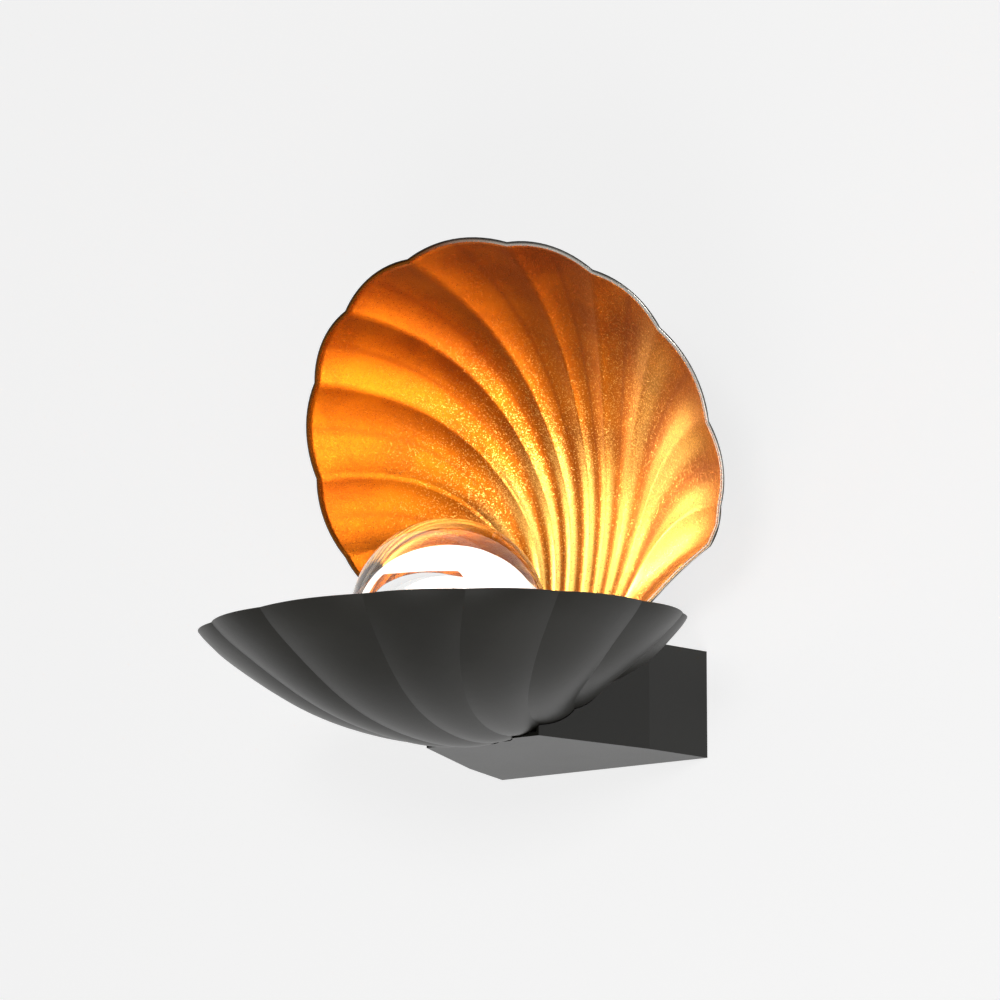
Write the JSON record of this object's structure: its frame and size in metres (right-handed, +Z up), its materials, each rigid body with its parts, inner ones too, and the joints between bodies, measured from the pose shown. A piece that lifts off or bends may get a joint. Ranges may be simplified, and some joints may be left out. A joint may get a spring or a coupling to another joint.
{
  "type": "shell wall sconce",
  "caption": "Wall light with two scalloped bowls opened like a clam on a tapered wall arm, and a thick clear glass globe over capsule lamps in the lower bowl.",
  "frame": {"origin": "centre of the two wall slots, on the wall face", "axes": "+Z up, +Y into the wall, +X to the right when looking at the wall; the bowls point along -Y into the room"},
  "size_m": [0.2442, 0.2528, 0.2547],
  "materials": {
    "bowl_coat": "cast alloy, satin charcoal powder coat, under warm gold leaf on the inside",
    "gold_leaf": "warm orange gold leaf laid over the bowl's inside, fine speckled grain",
    "arm_coat": "satin charcoal powder coat on sheet steel",
    "zinc_plate": "bright zinc plate",
    "dark_screw": "black plated steel",
    "brass_screw": "brass plated steel",
    "brass_trim": "satin brass",
    "black_rubber": "soft black rubber",
    "silicone": "translucent white silicone",
    "clear_glass": "thick clear pressed glass, polished",
    "opal_glass": "white opal flashed layer, satin",
    "lamp_quartz": "clear drawn capsule",
    "pressed_glass": "pressed glass foot",
    "nickel_pin": "nickel wire",
    "lit_core": "glowing core on stiff wires",
    "ceramic": "glazed steatite ceramic",
    "white_nylon": "moulded nylon",
    "glass_braid": "coated glass braid sleeve",
    "brown_lead": "brown silicone insulation",
    "blue_lead": "blue silicone insulation",
    "earth_insulation": "green and yellow insulation"
  },
  "bodies": {
    "fixture": {"lower_shell": "bowl_coat", "upper_shell": "bowl_coat", "arm_housing": "arm_coat", "wall_bracket": "zinc_plate", "angle_bracket": "arm_coat", "cable_grommet": "black_rubber", "arm_screws": "dark_screw", "angle_foot_screws": "dark_screw", "angle_foot_nuts": "zinc_plate", "upper_shell_screws": "dark_screw", "shell_posts": "zinc_plate", "lower_shell_screws": "brass_screw", "lamp_cup": "brass_trim", "globe_ring": "brass_trim", "globe_gasket": "silicone", "lamp_bridge": "zinc_plate", "bridge_screws": "zinc_plate", "holder_rivets": "brass_trim", "terminal_block": "white_nylon", "terminal_screws": "zinc_plate", "block_screw": "zinc_plate", "earth_tag": "zinc_plate", "earth_screw": "zinc_plate", "lead_sleeve": "glass_braid", "sleeve_bush": "silicone", "lamp_lead_brown": "brown_lead", "lamp_lead_blue": "blue_lead", "holder_link": "brown_lead", "earth_lead": "earth_insulation", "lamp_holder_left": "ceramic", "lamp_holder_right": "ceramic"},
    "globe_with_liner": {"globe": "clear_glass", "globe_liner": "opal_glass"},
    "lamp_left": {"lamp_left_glass": "lamp_quartz", "lamp_left_base": "pressed_glass", "lamp_left_pins": "nickel_pin", "lamp_left_filament": "lit_core"},
    "lamp_right": {"lamp_right_glass": "lamp_quartz", "lamp_right_base": "pressed_glass", "lamp_right_pins": "nickel_pin", "lamp_right_filament": "lit_core"}
  },
  "joints": [
    {"name": "globe_lift", "type": "slide", "parent": "fixture", "child": "globe_with_liner", "axis": [0, 0, 1], "range_m": [0, 0.062]},
    {"name": "lamp_left_pull", "type": "slide", "parent": "fixture", "child": "lamp_left", "axis": [0, 0, 1], "range_m": [0, 0.008]},
    {"name": "lamp_right_pull", "type": "slide", "parent": "fixture", "child": "lamp_right", "axis": [0, 0, 1], "range_m": [0, 0.008]}
  ]
}
